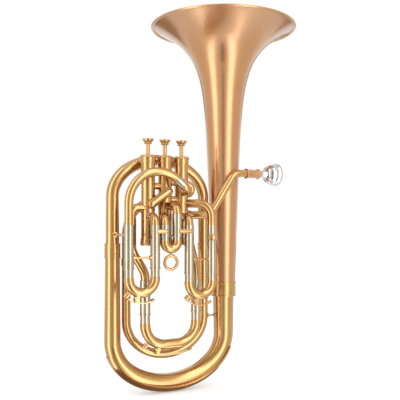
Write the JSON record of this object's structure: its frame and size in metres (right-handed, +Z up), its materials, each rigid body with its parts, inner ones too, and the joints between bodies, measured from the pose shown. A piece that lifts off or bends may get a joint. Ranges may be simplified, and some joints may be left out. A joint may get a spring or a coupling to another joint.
{
  "type": "baritone horn",
  "caption": "Upright baritone horn with a flared bell, sprung piston valves, pull-out tuning slides, water keys and a removable mouthpiece.",
  "frame": {"origin": "under the lowest point of the bow guard, midway between the left branch and the bell axis, where a stand's cradle carries the horn", "axes": "+Z up along the bell axis, +X from the left branch to the bell, +Y away from the fronts of the valve slides"},
  "size_m": [0.3156, 0.231, 0.572],
  "materials": {
    "lacquered_brass": "satin clear lacquer",
    "rose_brass": "satin clear lacquer",
    "nickel_silver": "polished",
    "silver_plate": "polished silver plate",
    "felt": "pressed felt",
    "spring_steel": "drawn wire"
  },
  "bodies": {
    "horn": {"bell": "rose_brass", "bell_ferrule": "lacquered_brass", "bottom_bow": "lacquered_brass", "bow_guard": "lacquered_brass", "top_bow": "lacquered_brass", "inner_bow": "lacquered_brass", "back_arch": "lacquered_brass", "tube_ferrules": "lacquered_brass", "tuning_feed_tube": "lacquered_brass", "tuning_sleeves": "nickel_silver", "leadpipe": "lacquered_brass", "mouthpiece_receiver": "rose_brass", "first_valve_casing": "lacquered_brass", "second_valve_casing": "lacquered_brass", "third_valve_casing": "lacquered_brass", "valve_top_caps": "lacquered_brass", "valve_bottom_caps": "lacquered_brass", "valve_cross_tubes": "lacquered_brass", "diagonal_tube": "lacquered_brass", "compensating_loop": "lacquered_brass", "first_spring": "spring_steel", "second_spring": "spring_steel", "third_spring": "spring_steel", "third_knuckle": "lacquered_brass", "second_knuckles": "lacquered_brass", "first_knuckles": "lacquered_brass", "third_arch": "lacquered_brass", "arch_ferrule": "nickel_silver", "arch_elbow": "lacquered_brass", "third_sleeves": "nickel_silver", "second_sleeves": "nickel_silver", "first_sleeves": "nickel_silver", "braces": "lacquered_brass", "lyre_holder": "lacquered_brass"},
    "first_valve": {"first_piston": "nickel_silver", "first_button": "lacquered_brass", "first_felt": "felt"},
    "second_valve": {"second_piston": "nickel_silver", "second_button": "lacquered_brass", "second_felt": "felt"},
    "third_valve": {"third_piston": "nickel_silver", "third_button": "lacquered_brass", "third_felt": "felt"},
    "mouthpiece": {"mouthpiece": "silver_plate"},
    "third_slide": {"third_slide_legs": "nickel_silver", "third_slide_bow": "lacquered_brass", "third_key_saddle": "lacquered_brass"},
    "third_key": {"third_water_key": "lacquered_brass"},
    "second_slide": {"second_slide_legs": "nickel_silver", "second_slide_bow": "lacquered_brass", "second_pull_ring": "lacquered_brass"},
    "first_slide": {"first_slide_legs": "nickel_silver", "first_slide_bow": "lacquered_brass", "first_key_saddle": "lacquered_brass"},
    "first_key": {"first_water_key": "lacquered_brass"},
    "tuning_slide": {"tuning_slide_legs": "nickel_silver", "tuning_slide_bow": "lacquered_brass", "tuning_key_saddle": "lacquered_brass"},
    "tuning_key": {"tuning_water_key": "lacquered_brass"},
    "lyre_screw": {"lyre_screw": "lacquered_brass"}
  },
  "joints": [
    {"name": "first_valve_press", "type": "slide", "parent": "horn", "child": "first_valve", "axis": [0, 0, -1], "range_m": [0, 0.016], "stiffness_N_per_m": 300, "springref_m": -0.016, "deforming": ["first_spring"]},
    {"name": "second_valve_press", "type": "slide", "parent": "horn", "child": "second_valve", "axis": [0, 0, -1], "range_m": [0, 0.016], "stiffness_N_per_m": 300, "springref_m": -0.016, "deforming": ["second_spring"]},
    {"name": "third_valve_press", "type": "slide", "parent": "horn", "child": "third_valve", "axis": [0, 0, -1], "range_m": [0, 0.016], "stiffness_N_per_m": 300, "springref_m": -0.016, "deforming": ["third_spring"]},
    {"name": "third_slide_pull", "type": "slide", "parent": "horn", "child": "third_slide", "axis": [0, 0, -1], "range_m": [0, 0.04]},
    {"name": "third_key_open", "type": "hinge", "parent": "third_slide", "child": "third_key", "pos_m": [-0.08265, -0.062, 0.14844], "axis": [0, -1, 0], "range_deg": [0, 12], "stiffness_Nm_per_rad": 0.05, "springref_deg": -20.05},
    {"name": "second_slide_pull", "type": "slide", "parent": "horn", "child": "second_slide", "axis": [0, 0, -1], "range_m": [0, 0.007]},
    {"name": "first_slide_pull", "type": "slide", "parent": "horn", "child": "first_slide", "axis": [0, 0, -1], "range_m": [0, 0.045]},
    {"name": "first_key_open", "type": "hinge", "parent": "first_slide", "child": "first_key", "pos_m": [0.01029, -0.062, 0.14088], "axis": [0, -1, 0], "range_deg": [0, 12], "stiffness_Nm_per_rad": 0.05, "springref_deg": -20.05},
    {"name": "tuning_slide_pull", "type": "slide", "parent": "horn", "child": "tuning_slide", "axis": [0, 0, -1], "range_m": [0, 0.032]},
    {"name": "tuning_key_open", "type": "hinge", "parent": "tuning_slide", "child": "tuning_key", "pos_m": [-0.03754, -0.032, 0.06735], "axis": [0, -1, 0], "range_deg": [0, 6], "stiffness_Nm_per_rad": 0.05, "springref_deg": -20.05},
    {"name": "mouthpiece_pull", "type": "slide", "parent": "horn", "child": "mouthpiece", "axis": [1, 0, 0], "range_m": [0, 0.03]},
    {"name": "lyre_screw_turn", "type": "hinge", "parent": "horn", "child": "lyre_screw", "pos_m": [0.02626, -0.08407, 0.237], "axis": [-0.4695, -0.8829, 0], "range_deg": [-360, 360]}
  ]
}
